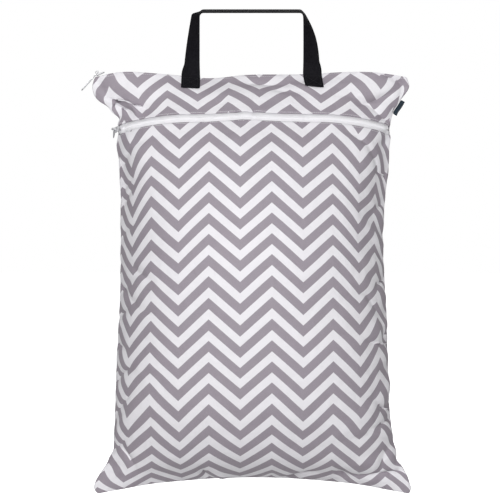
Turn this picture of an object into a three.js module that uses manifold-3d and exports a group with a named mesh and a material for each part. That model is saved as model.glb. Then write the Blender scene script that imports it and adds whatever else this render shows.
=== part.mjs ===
// A cloth wet bag for diapers, filled and hanging by its handle.
// Millimetres, +Z up, front towards -Y, origin under the middle of the handle's top bar.
import * as THREE from "three";
import Module from "manifold-3d";
import { mergeVertices } from "three/addons/utils/BufferGeometryUtils.js";

// Filled bag
const BAG_WIDTH = 348;
const BAG_DEPTH = 200;
const BODY_HEIGHT = 529;
const RIDGE_WIDTH = 12;

// Cloth, lying flat
const CLOTH_WIDTH = 446;
const CLOTH_HEIGHT = 600;
const CLOTH = 1.5;
const SEAM_GAP = 0.3;

// Zips
const ZIP_DROP = 72;
const ZIP_OPENING = 9;
const ZIP_RISE = 3.5;
const ZIP_RISE_PLACE = -0.05;
const ZIP_RISE_WIDE = 0.16;
const ZIP_RISE_TALL = 0.05;
const TAPE_UNDER = 9;
const TAPE_THICK = 1;
const TAPE_GAP = 0.7;
const TAPE_SLIT = 0.8;
const TEETH_WIDTH = 5;
const TEETH_HEIGHT = 1.5;
const ZIP_END = 2;
const TEETH_END = 9;
const GAP = 0.3;

// Zip sliders and their pull tabs
const SLIDER_LENGTH = 11.3;
const SLIDER_WIDTH = 8;
const SLIDER_PLATE = 1.6;
const BRIDGE_WIDTH = 2.2;
const BRIDGE_WIRE = 0.8;
const BRIDGE_SPAN = 3.1;
const BRIDGE_RISE = 3.7;
const PULL_LENGTH = 32;
const PULL_WIDTH = 6.5;
const PULL_THICK = 1.2;
const PULL_ROOT = 0.9;
const PULL_PLAY = 0.5;
const PULL_TAPER = 0.8;
const PULL_TILT = THREE.MathUtils.degToRad(23);
const TOP_SLIDER_TILT = THREE.MathUtils.degToRad(25);
const TOP_SLIDER_FROM_SEAM = 5;
const FRONT_SLIDER_FROM_SEAM = 4;

// Handle of one webbing strap
const LOOP_WIDTH = 139;
const LOOP_HEIGHT = 81;
const STRAP_WIDTH = 25;
const STRAP_THICK = 1.8;
const STRAP_SEWN = 24;
const STRAP_CORNER = 4;
const BAR_TILT = THREE.MathUtils.degToRad(16);
const TWIST_FOOT = THREE.MathUtils.degToRad(15);
const TWIST_TOP = THREE.MathUtils.degToRad(74);
const TWIST_LATE = 1.8;

// Folded tag in the right side seam
const LABEL_DROP = 37;
const LABEL_LENGTH = 22;
const LABEL_OUT = 6.5;
const LABEL_THICK = 1;

const HALF_FLAT = CLOTH_WIDTH / 2;
const ZIP_UP = CLOTH_HEIGHT - ZIP_DROP;
const LABEL_UP = CLOTH_HEIGHT - LABEL_DROP;
const HALF_SEAM = SEAM_GAP / 2;
const RIDGE_Z = -LOOP_HEIGHT - (STRAP_WIDTH / 2) * Math.sin(BAR_TILT);
const BOTTOM_Z = RIDGE_Z - BODY_HEIGHT;

// Sections from the bottom seam up. up: share of the flat cloth height. left, right: side seam, as
// shares of half the bag width. side, middle: seam and centre line, as shares of the body height.
// depth: share of half the bag depth. bend: how late the row leaves the middle height.
// swell: 0.5 is an ellipse, over 1 runs out flat into the corners.
const SECTIONS = [
  { up: 0.0, left: 1.18, right: 1.185, side: -0.043, middle: 0.0, depth: 0.0, bend: 2.0, swell: 1.3 },
  { up: 0.02, left: 1.208, right: 1.2, side: -0.028, middle: 0.004, depth: 0.118, bend: 2.0, swell: 1.2 },
  { up: 0.045, left: 1.185, right: 1.18, side: -0.008, middle: 0.012, depth: 0.262, bend: 2.1, swell: 1.05 },
  { up: 0.07, left: 1.14, right: 1.147, side: 0.018, middle: 0.0245, depth: 0.395, bend: 2.2, swell: 0.95 },
  { up: 0.1, left: 1.087, right: 1.09, side: 0.045, middle: 0.047, depth: 0.54, bend: 2.4, swell: 0.8 },
  { up: 0.14, left: 1.057, right: 1.073, side: 0.078, middle: 0.079, depth: 0.703, bend: 2.6, swell: 0.65 },
  { up: 0.185, left: 1.048, right: 1.044, side: 0.121, middle: 0.123, depth: 0.834, bend: 3.0, swell: 0.55 },
  { up: 0.25, left: 1.038, right: 1.026, side: 0.19, middle: 0.194, depth: 0.935, bend: 3.0, swell: 0.5 },
  { up: 0.35, left: 1.03, right: 1.018, side: 0.294, middle: 0.304, depth: 1.0, bend: 3.0, swell: 0.5 },
  { up: 0.45, left: 1.012, right: 1.007, side: 0.398, middle: 0.417, depth: 1.0, bend: 3.0, swell: 0.5 },
  { up: 0.55, left: 1.002, right: 0.991, side: 0.5, middle: 0.53, depth: 0.99, bend: 3.0, swell: 0.5 },
  { up: 0.65, left: 1.001, right: 0.979, side: 0.6, middle: 0.643, depth: 0.915, bend: 3.0, swell: 0.5 },
  { up: 0.75, left: 1.002, right: 1.002, side: 0.705, middle: 0.755, depth: 0.77, bend: 3.2, swell: 0.5 },
  { up: 0.82, left: 1.016, right: 1.028, side: 0.786, middle: 0.83, depth: 0.625, bend: 3.6, swell: 0.5 },
  { up: 0.87, left: 1.032, right: 1.041, side: 0.852, middle: 0.881, depth: 0.495, bend: 4.0, swell: 0.55 },
  { up: 0.9, left: 1.015, right: 1.05, side: 0.885, middle: 0.909, depth: 0.39, bend: 4.0, swell: 0.7 },
  { up: 0.93, left: 1.085, right: 1.08, side: 0.915, middle: 0.936, depth: 0.28, bend: 4.0, swell: 1.0 },
  { up: 0.96, left: 1.19, right: 1.135, side: 0.944, middle: 0.963, depth: 0.165, bend: 4.0, swell: 1.3 },
  { up: 0.98, left: 1.222, right: 1.187, side: 0.972, middle: 0.982, depth: 0.085, bend: 4.0, swell: 1.5 },
  { up: 1.0, left: 1.197, right: 1.163, side: 0.997, middle: 1.0, depth: 0.0, bend: 4.0, swell: 1.6 },
];

// Dips and rises of the top edge. across: share of half the flat width. rise: share of body height.
const RIDGE_LINE = [
  { across: -1.0, rise: 0.0 },
  { across: -0.84, rise: 0.009 },
  { across: -0.55, rise: 0.002 },
  { across: -0.26, rise: -0.008 },
  { across: -0.05, rise: 0.0 },
  { across: 0.3, rise: 0.002 },
  { across: 0.75, rise: 0.008 },
  { across: 1.0, rise: 0.0 },
];

// Creases in the front, from one end to the other. across, up: shares of the flat half width and
// height. wide: share of the flat width. deep: share of the bag depth, negative for a raised fold.
const FOLDS = [
  { across: -0.93, up: 0.957, toAcross: -0.76, toUp: 0.918, wide: 0.017, deep: 0.032 },
  { across: -0.87, up: 0.935, toAcross: -0.83, toUp: 0.895, wide: 0.015, deep: -0.022 },
  { across: 0.93, up: 0.955, toAcross: 0.74, toUp: 0.925, wide: 0.02, deep: 0.026 },
  { across: -0.05, up: 0.975, toAcross: 0.22, toUp: 0.972, wide: 0.022, deep: 0.012 },
  { across: 0.6, up: 0.862, toAcross: 0.82, toUp: 0.825, wide: 0.02, deep: 0.02 },
  { across: -0.83, up: 0.57, toAcross: -0.6, toUp: 0.52, wide: 0.02, deep: 0.022 },
  { across: -0.3, up: 0.05, toAcross: -0.36, toUp: 0.01, wide: 0.03, deep: 0.03 },
  { across: 0.12, up: 0.055, toAcross: 0.1, toUp: 0.01, wide: 0.035, deep: 0.02 },
  { across: 0.55, up: 0.07, toAcross: 0.6, toUp: 0.02, wide: 0.03, deep: 0.03 },
];

const FOLD_FADE_AT_ZIP = 40;
const FOLD_LEFT_AT_ZIP = 0.1;
const FOLD_FADE_SIDE = 0.08;
const FOLD_FADE_BOTTOM = 0.03;
const FOLD_FADE_TOP = 0.015;
const FOLD_END_DEEP = 0.4;
const LEAST_DEPTH = 0.4;

// Puckers along the side seams
const PUCKER_COUNT = 13;
const PUCKER_DEEP = 0.012 * BAG_DEPTH;
const PUCKER_REACH = 0.16;

// The top edge opens out to the ridge's width from this height on, and closes at the corners.
const RIDGE_FROM = 0.93;
const RIDGE_LINE_FROM = 0.9;
const RIDGE_CORNER = 12;

// Rows and columns of the faceted cloth
const COLUMNS = 24;
const COLUMNS_TO_SEAM = 0.4;
const POCKET_ROWS = 29;
const UPPER_ROWS = 7;
const BACK_ROWS = 33;
const ROWS_TO_BOTTOM = 1.15;
const NORMAL_STEP = 0.008;
const SECTION_STEPS = 160;
const SEWN_STEPS = 4;
const LEG_STEPS = 14;
const LABEL_STEPS = 3;

const CLOTH_PRINT = new THREE.MeshStandardMaterial({ color: 0xc4bfc6, roughness: 0.85, metalness: 0 });
const ZIP_WHITE = new THREE.MeshStandardMaterial({ color: 0xecebef, roughness: 0.7, metalness: 0 });
const PULL_GREY = new THREE.MeshStandardMaterial({ color: 0xbcbcc0, roughness: 0.4, metalness: 0.3 });
const WEBBING_BLACK = new THREE.MeshStandardMaterial({ color: 0x151418, roughness: 0.8, metalness: 0 });
const LABEL_NAVY = new THREE.MeshStandardMaterial({ color: 0x16232e, roughness: 0.8, metalness: 0 });

const wasm = await Module();
wasm.setup();

// Smooth value of a named column of a table at a place along its key column.
function tableValue(table, key, column, at) {
  const last = table.length - 1;
  let i = 0;
  while (i < last - 1 && at > table[i + 1][key]) i += 1;
  const slope = (a, b) => (table[b][column] - table[a][column]) / (table[b][key] - table[a][key]);
  const here = slope(i, i + 1);
  const before = i > 0 ? (slope(i - 1, i) + here) / 2 : here;
  const after = i + 1 < last ? (slope(i + 1, i + 2) + here) / 2 : here;
  const step = table[i + 1][key] - table[i][key];
  const u = THREE.MathUtils.clamp((at - table[i][key]) / step, 0, 1);
  const start = table[i][column];
  const rise = table[i + 1][column] - start;
  const ease = u * u * (3 - 2 * u);
  return start + rise * ease + step * (before * u * (1 - u) * (1 - u) - after * u * u * (1 - u));
}

// Half sections, with the place across the cloth measured along its own curve.
const sectionCache = new Map();

function halfSection(up, sign) {
  const name = up.toFixed(5) + sign;
  if (sectionCache.has(name)) return sectionCache.get(name);
  const half = (tableValue(SECTIONS, "up", sign < 0 ? "left" : "right", up) * BAG_WIDTH) / 2;
  const depth = (Math.max(0, tableValue(SECTIONS, "up", "depth", up)) * BAG_DEPTH) / 2;
  const swell = tableValue(SECTIONS, "up", "swell", up);
  const shares = [0];
  const lengths = [0];
  for (let i = 1; i <= SECTION_STEPS; i += 1) {
    const share = Math.sin(((i / SECTION_STEPS) * Math.PI) / 2);
    const before = shares[i - 1];
    const drop = depth * ((1 - before ** 2) ** swell - Math.max(0, 1 - share ** 2) ** swell);
    lengths.push(lengths[i - 1] + Math.hypot((share - before) * half, drop));
    shares.push(share);
  }
  const made = { half, depth, swell, shares, lengths };
  sectionCache.set(name, made);
  return made;
}

function shareAt(section, across) {
  const { shares, lengths } = section;
  const target = Math.min(1, Math.abs(across)) * lengths[SECTION_STEPS];
  let i = 1;
  while (i < SECTION_STEPS && lengths[i] < target) i += 1;
  const u = (target - lengths[i - 1]) / (lengths[i] - lengths[i - 1]);
  return shares[i - 1] + (shares[i] - shares[i - 1]) * u;
}

function foldDepth(across, up) {
  const x = across * HALF_FLAT;
  const z = up * CLOTH_HEIGHT;
  let deep = 0;
  for (const fold of FOLDS) {
    const x0 = fold.across * HALF_FLAT;
    const z0 = fold.up * CLOTH_HEIGHT;
    const dx = fold.toAcross * HALF_FLAT - x0;
    const dz = fold.toUp * CLOTH_HEIGHT - z0;
    const along = THREE.MathUtils.clamp(((x - x0) * dx + (z - z0) * dz) / (dx * dx + dz * dz), 0, 1);
    const away = Math.hypot(x - x0 - along * dx, z - z0 - along * dz) / (fold.wide * CLOTH_WIDTH);
    const swell = FOLD_END_DEEP + (1 - FOLD_END_DEEP) * Math.sin(Math.PI * along);
    deep += fold.deep * BAG_DEPTH * Math.exp(-away * away) * swell;
  }
  const fromSeam = (1 - Math.abs(across)) / PUCKER_REACH;
  const wave = Math.sin(up * PUCKER_COUNT * 2 * Math.PI + Math.sign(across));
  return deep + PUCKER_DEEP * wave * Math.exp(-fromSeam * fromSeam);
}

// How much of a fold is left near the seams and the front zip, which hold the cloth.
function foldShare(across, up) {
  const fromZip = Math.abs(up * CLOTH_HEIGHT - ZIP_UP) / FOLD_FADE_AT_ZIP;
  const fromSide = (1 - Math.abs(across)) / FOLD_FADE_SIDE;
  const fromBottom = up / FOLD_FADE_BOTTOM;
  const fromTop = (1 - up) / FOLD_FADE_TOP;
  return Math.max(0, Math.min(1, fromSide, fromBottom, fromTop, FOLD_LEFT_AT_ZIP + fromZip));
}

// Inner face of the front cloth. across runs from -1 to 1 between the side seams, up from 0 to 1.
function clothBase(across, up, folded) {
  const section = halfSection(up, Math.sign(across) || 1);
  const share = shareAt(section, across);
  const open = THREE.MathUtils.smoothstep(up, RIDGE_FROM, 1);
  const ridge = (RIDGE_WIDTH / 2) * open * (1 - share ** RIDGE_CORNER);
  let depth = section.depth * Math.max(0, 1 - share * share) ** section.swell;
  if (folded) {
    depth = Math.max(depth - foldDepth(across, up) * foldShare(across, up), depth * LEAST_DEPTH);
  }
  const middle = tableValue(SECTIONS, "up", "middle", up);
  const side = tableValue(SECTIONS, "up", "side", up);
  const bend = tableValue(SECTIONS, "up", "bend", up);
  const top = THREE.MathUtils.smoothstep(up, RIDGE_LINE_FROM, 1);
  const line = top * tableValue(RIDGE_LINE, "across", "rise", across);
  const height = middle + (side - middle) * share ** bend + line;
  const upFromZip = (up - ZIP_UP / CLOTH_HEIGHT) / ZIP_RISE_TALL;
  const besideRise = (across - ZIP_RISE_PLACE) / ZIP_RISE_WIDE;
  const rise = ZIP_RISE * Math.exp(-(upFromZip ** 2) - besideRise ** 2);
  return new THREE.Vector3(
    Math.sign(across) * share * section.half,
    -(HALF_SEAM + depth + ridge),
    BOTTOM_Z + BODY_HEIGHT * height + rise,
  );
}

function clothNormal(across, up, folded) {
  const a0 = Math.max(-1, across - NORMAL_STEP);
  const a1 = Math.min(1, across + NORMAL_STEP);
  const u0 = Math.max(0, up - NORMAL_STEP);
  const u1 = Math.min(1, up + NORMAL_STEP);
  const sideways = clothBase(a1, up, folded).sub(clothBase(a0, up, folded));
  const upwards = clothBase(across, u1, folded).sub(clothBase(across, u0, folded));
  return sideways.cross(upwards).normalize();
}

// A point over the front cloth's inner face, or under it where out is negative.
function clothPoint(across, up, out, folded = true) {
  const point = clothBase(across, up, folded);
  return point.addScaledVector(clothNormal(across, up, folded), out);
}

const mirrorY = (point) => new THREE.Vector3(point.x, -point.y, point.z);

// Six times the volume that a list of triangles encloses, negative where they face inwards.
function signedVolume(points, faces) {
  let sum = 0;
  for (let i = 0; i < faces.length; i += 3) {
    const [a, b, c] = [points[faces[i]], points[faces[i + 1]], points[faces[i + 2]]];
    sum += a.dot(b.clone().cross(c));
  }
  return sum;
}

function meshOf(name, points, faces, material) {
  if (signedVolume(points, faces) < 0) faces.reverse();
  const geometry = new THREE.BufferGeometry();
  geometry.setAttribute("position", new THREE.Float32BufferAttribute(points.flatMap((p) => p.toArray()), 3));
  geometry.setIndex(faces);
  geometry.computeVertexNormals();
  const mesh = new THREE.Mesh(geometry, material.clone());
  mesh.name = name;
  return mesh;
}

// A closed skin between two grids of points: outer face, inner face and the rim round both.
function sheetSolid(name, outer, inner, material) {
  const rows = outer.length;
  const columns = outer[0].length;
  const points = [...outer.flat(), ...inner.flat()];
  const faces = [];
  const quad = (a, b, c, d) => faces.push(a, b, c, a, c, d);
  const front = (r, c) => r * columns + c;
  const back = (r, c) => rows * columns + r * columns + c;
  for (let r = 0; r + 1 < rows; r += 1) {
    for (let c = 0; c + 1 < columns; c += 1) {
      quad(front(r, c), front(r, c + 1), front(r + 1, c + 1), front(r + 1, c));
      quad(back(r, c), back(r + 1, c), back(r + 1, c + 1), back(r, c + 1));
    }
    quad(front(r, 0), front(r + 1, 0), back(r + 1, 0), back(r, 0));
    quad(front(r + 1, columns - 1), front(r, columns - 1), back(r, columns - 1), back(r + 1, columns - 1));
  }
  for (let c = 0; c + 1 < columns; c += 1) {
    quad(front(0, c + 1), front(0, c), back(0, c), back(0, c + 1));
    quad(front(rows - 1, c), front(rows - 1, c + 1), back(rows - 1, c + 1), back(rows - 1, c));
  }
  return meshOf(name, points, faces, material);
}

// A closed solid through rings of points that each run the same way round.
function loftSolid(name, rings, material) {
  const size = rings[0].length;
  const faces = [];
  for (let r = 0; r + 1 < rings.length; r += 1) {
    for (let i = 0; i < size; i += 1) {
      const j = (i + 1) % size;
      faces.push(r * size + i, (r + 1) * size + j, r * size + j);
      faces.push(r * size + i, (r + 1) * size + i, (r + 1) * size + j);
    }
  }
  const end = (rings.length - 1) * size;
  for (let i = 1; i + 1 < size; i += 1) {
    faces.push(0, i, i + 1);
    faces.push(end, end + i + 1, end + i);
  }
  return meshOf(name, rings.flat(), faces, material);
}

// Places across the cloth that all its pieces share, closer together towards the seams.
function acrossPlaces() {
  const zipEnd = 1 - ZIP_END / HALF_FLAT;
  const teethEnd = 1 - TEETH_END / HALF_FLAT;
  const inner = [];
  for (let i = 0; i <= COLUMNS; i += 1) {
    const even = (2 * i) / COLUMNS - 1;
    const gathered = Math.sin((even * Math.PI) / 2);
    inner.push(teethEnd * THREE.MathUtils.lerp(even, gathered, COLUMNS_TO_SEAM));
  }
  return [-1, -zipEnd, ...inner, zipEnd, 1];
}

const ACROSS = acrossPlaces();
const TEETH_ACROSS = ACROSS.slice(2, -2);
const TAPE_ACROSS = ACROSS.slice(1, -1);

const evenSteps = (from, to, count) =>
  Array.from({ length: count + 1 }, (_, i) => from + ((to - from) * i) / count);

function clothGrid(ups, out, folded) {
  return ups.map((up) => ACROSS.map((across) => clothPoint(across, up / CLOTH_HEIGHT, out, folded)));
}

function clothPanel(name, ups) {
  return sheetSolid(name, clothGrid(ups, CLOTH, true), clothGrid(ups, 0, true), CLOTH_PRINT);
}

function backPanel() {
  const ups = [...evenSteps(0, CLOTH_HEIGHT - TAPE_UNDER, BACK_ROWS), CLOTH_HEIGHT];
  const outer = clothGrid(ups, CLOTH, false).map((row) => row.map(mirrorY));
  const inner = clothGrid(ups, 0, false).map((row) => row.map(mirrorY));
  return sheetSolid("back_panel", outer, inner, CLOTH_PRINT);
}

// A strip that follows the cloth through some heights, between two distances out from it.
function clothStrip(name, acrossList, ups, near, far) {
  const edge = (across, out) => ups.map((up) => clothPoint(across, up / CLOTH_HEIGHT, out));
  const rings = acrossList.map((across) => [...edge(across, near), ...edge(across, far).reverse()]);
  return loftSolid(name, rings, ZIP_WHITE);
}

function frontZip() {
  const tape = [TAPE_SLIT / 2, TEETH_WIDTH / 2, ZIP_OPENING / 2, ZIP_OPENING / 2 + TAPE_UNDER];
  const teeth = [-TEETH_WIDTH / 2, 0, TEETH_WIDTH / 2];
  const above = tape.map((step) => ZIP_UP + step);
  const below = tape.map((step) => ZIP_UP - step);
  const middle = teeth.map((step) => ZIP_UP + step);
  const deep = -TAPE_GAP - TAPE_THICK;
  return [
    clothStrip("front_zip_tape_upper", TAPE_ACROSS, above, -TAPE_GAP, deep),
    clothStrip("front_zip_tape_lower", TAPE_ACROSS, below.reverse(), -TAPE_GAP, deep),
    clothStrip("front_zip_teeth", TEETH_ACROSS, middle, 0, TEETH_HEIGHT),
  ];
}

// One tape of the top zip: up under the cloth's edge, then level to the middle.
function topTapeRing(across, folded) {
  const under = 1 - TAPE_UNDER / CLOTH_HEIGHT;
  const deep = -TAPE_GAP - TAPE_THICK;
  const low = clothPoint(across, under, -TAPE_GAP, folded);
  const edge = clothPoint(across, 1, -TAPE_GAP, folded);
  const lowInside = clothPoint(across, under, deep, folded);
  const edgeInside = clothPoint(across, 1, deep, folded);
  const middle = new THREE.Vector3(edge.x, -TAPE_SLIT / 2, edge.z);
  const middleInside = new THREE.Vector3(edge.x, -TAPE_SLIT / 2, edge.z - TAPE_THICK);
  return [low, lowInside, edgeInside, middleInside, middle, edge];
}

function topZip() {
  const half = TEETH_WIDTH / 2;
  const teeth = TEETH_ACROSS.slice(1, -1).map((across) => {
    const { x, z } = clothPoint(across, 1, -TAPE_GAP);
    const low = z + GAP;
    const high = low + TEETH_HEIGHT;
    return [
      new THREE.Vector3(x, -half, low),
      new THREE.Vector3(x, half, low),
      new THREE.Vector3(x, half, high),
      new THREE.Vector3(x, -half, high),
    ];
  });
  const front = TEETH_ACROSS.map((across) => topTapeRing(across, true));
  const back = TEETH_ACROSS.map((across) => topTapeRing(across, false).map(mirrorY));
  return [
    loftSolid("top_zip_tape_front", front, ZIP_WHITE),
    loftSolid("top_zip_tape_back", back, ZIP_WHITE),
    loftSolid("top_zip_teeth", teeth, ZIP_WHITE),
  ];
}

// Place across the cloth, at a height, that lies at a given X.
function acrossAtX(x, up) {
  let low = -1;
  let high = 1;
  for (let i = 0; i < 40; i += 1) {
    const mid = (low + high) / 2;
    if (clothBase(mid, up, false).x < x) low = mid;
    else high = mid;
  }
  return (low + high) / 2;
}

// Four corners of the strap: back inner, back outer, front outer, front inner.
function strapRing(inner, wide, face) {
  const back = inner.clone().addScaledVector(wide, STRAP_WIDTH);
  const step = face.clone().multiplyScalar(STRAP_THICK);
  return [inner.clone(), back, back.clone().add(step), inner.clone().add(step)];
}

// One end of the strap, flat on the cloth, from its cut end up to the top edge.
function sewnRings(sign) {
  const near = CLOTH + GAP;
  const far = near + STRAP_THICK;
  const innerX = (sign * LOOP_WIDTH) / 2;
  const outerX = innerX + sign * STRAP_WIDTH;
  return evenSteps(CLOTH_HEIGHT - STRAP_SEWN, CLOTH_HEIGHT, SEWN_STEPS).map((height) => {
    const up = height / CLOTH_HEIGHT;
    const corner = (x, out) => clothPoint(acrossAtX(x, up), up, out);
    return [corner(innerX, near), corner(outerX, near), corner(outerX, far), corner(innerX, far)];
  });
}

// The left leg from the top edge to the bar's corner. Its inner edge stays upright while the strap
// turns edge on.
function legRings(foot) {
  const rings = [];
  const headY = (-STRAP_WIDTH / 2) * Math.cos(BAR_TILT);
  const headZ = (-STRAP_WIDTH / 2) * Math.sin(BAR_TILT) - STRAP_CORNER;
  for (let i = 1; i <= LEG_STEPS; i += 1) {
    const share = i / LEG_STEPS;
    const twist = TWIST_FOOT * Math.min(1, 4 * share) + (TWIST_TOP - TWIST_FOOT) * share ** TWIST_LATE;
    const rise = Math.sin(BAR_TILT) * share ** 3;
    const wide = new THREE.Vector3(-Math.cos(twist), Math.sin(twist), rise).normalize();
    const face = new THREE.Vector3(-Math.sin(twist), -Math.cos(twist), 0);
    const y = THREE.MathUtils.lerp(foot.y, headY, THREE.MathUtils.smoothstep(share, 0, 1));
    const z = THREE.MathUtils.lerp(foot.z, headZ, share);
    rings.push(strapRing(new THREE.Vector3(foot.x, y, z), wide, face));
  }
  return rings;
}

// The turn from the leg into the bar, then the bar's flat end.
function cornerRings() {
  const middleY = (-STRAP_WIDTH / 2) * Math.cos(BAR_TILT);
  const middleZ = (-STRAP_WIDTH / 2) * Math.sin(BAR_TILT);
  const wide = new THREE.Vector3(0, Math.cos(BAR_TILT), Math.sin(BAR_TILT));
  const rings = [];
  for (const turn of [30, 60, 90]) {
    const angle = THREE.MathUtils.degToRad(turn);
    const x = -LOOP_WIDTH / 2 + STRAP_CORNER * (1 - Math.cos(angle));
    const z = middleZ - STRAP_CORNER * (1 - Math.sin(angle));
    const along = new THREE.Vector3(Math.sin(angle), 0, Math.cos(angle));
    const face = wide.clone().cross(along).negate().normalize();
    rings.push(strapRing(new THREE.Vector3(x, middleY, z), wide, face));
  }
  return rings;
}

function handle() {
  const left = sewnRings(-1);
  const right = sewnRings(1).reverse();
  const foot = left[left.length - 1][0];
  const loop = [...legRings(foot), ...cornerRings()];
  const mirrored = loop.map((ring) => ring.map((p) => new THREE.Vector3(-p.x, p.y, p.z))).reverse();
  return loftSolid("handle", [...left, ...loop, ...mirrored, ...right], WEBBING_BLACK);
}

// The tag stands out of the right seam, along it.
function sideLabel() {
  const ups = evenSteps(LABEL_UP - LABEL_LENGTH / 2, LABEL_UP + LABEL_LENGTH / 2, LABEL_STEPS);
  const rings = ups.map((up) => {
    const share = up / CLOTH_HEIGHT;
    const seam = clothBase(1, share, false);
    const ahead = clothBase(1, share + NORMAL_STEP, false);
    const out = new THREE.Vector3(ahead.z - seam.z, 0, seam.x - ahead.x).normalize();
    const edge = CLOTH * Math.max(0, clothNormal(1, share, false).dot(out));
    const near = seam.clone().addScaledVector(out, edge + GAP).setY(-LABEL_THICK / 2);
    const far = near.clone().addScaledVector(out, LABEL_OUT);
    return [near, mirrorY(near), mirrorY(far), far];
  });
  return loftSolid("side_label", rings, LABEL_NAVY);
}

function solidOf(geometry) {
  const plain = geometry.clone();
  plain.deleteAttribute("normal");
  plain.deleteAttribute("uv");
  const merged = mergeVertices(plain);
  const vertProperties = new Float32Array(merged.attributes.position.array);
  const triVerts = new Uint32Array(merged.index.array);
  return new wasm.Manifold(new wasm.Mesh({ numProp: 3, vertProperties, triVerts }));
}

function meshOfSolid(name, solid, frame, material) {
  const { vertProperties, triVerts } = solid.getMesh();
  const geometry = new THREE.BufferGeometry();
  geometry.setAttribute("position", new THREE.BufferAttribute(new Float32Array(vertProperties), 3));
  geometry.setIndex(new THREE.BufferAttribute(new Uint32Array(triVerts), 1));
  geometry.computeVertexNormals();
  const mesh = new THREE.Mesh(geometry, material.clone());
  mesh.name = name;
  mesh.applyMatrix4(frame);
  return mesh;
}

// An outline in the plane of travel and height, extruded evenly to both sides.
function extruded(outline, holes, width) {
  const shape = new THREE.Shape(outline.map(([a, n]) => new THREE.Vector2(a, n)));
  shape.holes = holes.map((hole) => new THREE.Path(hole.map(([a, n]) => new THREE.Vector2(a, n))));
  const geometry = new THREE.ExtrudeGeometry(shape, { depth: width, bevelEnabled: false });
  return geometry.translate(0, 0, -width / 2);
}

const box = (a0, n0, a1, n1) => [
  [a0, n0],
  [a1, n0],
  [a1, n1],
  [a0, n1],
];

const PULL_AXIS = SLIDER_PLATE + BRIDGE_RISE / 2;
const PLATE_FRONT = BRIDGE_SPAN / 2 + BRIDGE_WIRE;

// Slider: a plate over the teeth with a square bridge, whose middle is the pull's axis.
function slider(name, frame) {
  const back = PLATE_FRONT - SLIDER_LENGTH;
  const plate = extruded(
    [
      [back, 0],
      [PLATE_FRONT, 0],
      [PLATE_FRONT, SLIDER_PLATE],
      [back + SLIDER_PLATE / 2, SLIDER_PLATE],
      [back, SLIDER_PLATE / 2],
    ],
    [],
    SLIDER_WIDTH,
  );
  const top = SLIDER_PLATE + BRIDGE_RISE;
  const bridge = extruded(
    box(-PLATE_FRONT, SLIDER_PLATE / 2, PLATE_FRONT, top + BRIDGE_WIRE),
    [box(-BRIDGE_SPAN / 2, SLIDER_PLATE, BRIDGE_SPAN / 2, top)],
    BRIDGE_WIDTH,
  );
  return meshOfSolid(name, solidOf(plate).add(solidOf(bridge)), frame, PULL_GREY);
}

// Pull tab: a thin plate with a window that the bridge passes through.
function pull(name, frame, tilt) {
  const window = BRIDGE_WIDTH + 2 * PULL_PLAY;
  const windowEnd = Math.hypot(PLATE_FRONT, BRIDGE_RISE / 2 + BRIDGE_WIRE) + PULL_PLAY;
  const end = PULL_LENGTH - PULL_ROOT;
  const half = PULL_WIDTH / 2;
  const outline = new THREE.Shape();
  outline.moveTo(-PULL_ROOT, -half * PULL_TAPER);
  outline.lineTo(end - half, -half);
  outline.absarc(end - half, 0, half, -Math.PI / 2, Math.PI / 2, false);
  outline.lineTo(-PULL_ROOT, half * PULL_TAPER);
  outline.closePath();
  const hole = new THREE.Path();
  hole.moveTo(PULL_ROOT, -window / 2);
  hole.lineTo(PULL_ROOT, window / 2);
  hole.lineTo(windowEnd, window / 2);
  hole.lineTo(windowEnd, -window / 2);
  hole.closePath();
  outline.holes = [hole];
  const extrusion = { depth: PULL_THICK, bevelEnabled: false, curveSegments: 6 };
  const plate = new THREE.ExtrudeGeometry(outline, extrusion);
  plate.translate(0, 0, -PULL_THICK / 2);
  const swing = new THREE.Matrix4()
    .makeTranslation(0, PULL_AXIS, 0)
    .multiply(new THREE.Matrix4().makeRotationZ(-tilt))
    .multiply(new THREE.Matrix4().makeRotationX(-Math.PI / 2));
  return meshOfSolid(name, solidOf(plate), frame.clone().multiply(swing), PULL_GREY);
}

// A frame whose X runs along the zip to its end and whose Y stands up from it.
function zipFrame(place, along, out) {
  const side = along.clone().cross(out).normalize();
  const square = side.clone().cross(along).normalize();
  return new THREE.Matrix4().makeBasis(along.clone().normalize(), square, side).setPosition(place);
}

function topSliderFrame() {
  const across = -1 + TOP_SLIDER_FROM_SEAM / HALF_FLAT;
  const seat = clothPoint(across, 1, CLOTH);
  const along = new THREE.Vector3(-Math.cos(TOP_SLIDER_TILT), 0, -Math.sin(TOP_SLIDER_TILT));
  const out = new THREE.Vector3(-Math.sin(TOP_SLIDER_TILT), 0, Math.cos(TOP_SLIDER_TILT));
  const place = new THREE.Vector3(seat.x, 0, seat.z + TEETH_HEIGHT / 2);
  return zipFrame(place.addScaledVector(out, GAP), along, out);
}

function frontSliderFrame() {
  const across = -1 + FRONT_SLIDER_FROM_SEAM / HALF_FLAT;
  const up = ZIP_UP / CLOTH_HEIGHT;
  const out = clothNormal(across, up, false);
  const ahead = clothBase(across - NORMAL_STEP, up, false);
  const along = ahead.sub(clothBase(across + NORMAL_STEP, up, false)).normalize();
  const place = clothPoint(across, up, CLOTH + GAP, false);
  place.addScaledVector(along, SLIDER_LENGTH / 2 - PLATE_FRONT);
  return zipFrame(place, along, out);
}

const pocketUps = [
  ...evenSteps(0, 1, POCKET_ROWS).map((u) => (ZIP_UP - ZIP_OPENING / 2 - TAPE_UNDER) * u ** ROWS_TO_BOTTOM),
  ZIP_UP - ZIP_OPENING / 2,
];
const upperLow = ZIP_UP + ZIP_OPENING / 2;
const upperUps = [
  upperLow,
  ...evenSteps(upperLow + TAPE_UNDER, CLOTH_HEIGHT - TAPE_UNDER, UPPER_ROWS),
  CLOTH_HEIGHT,
];

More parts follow.
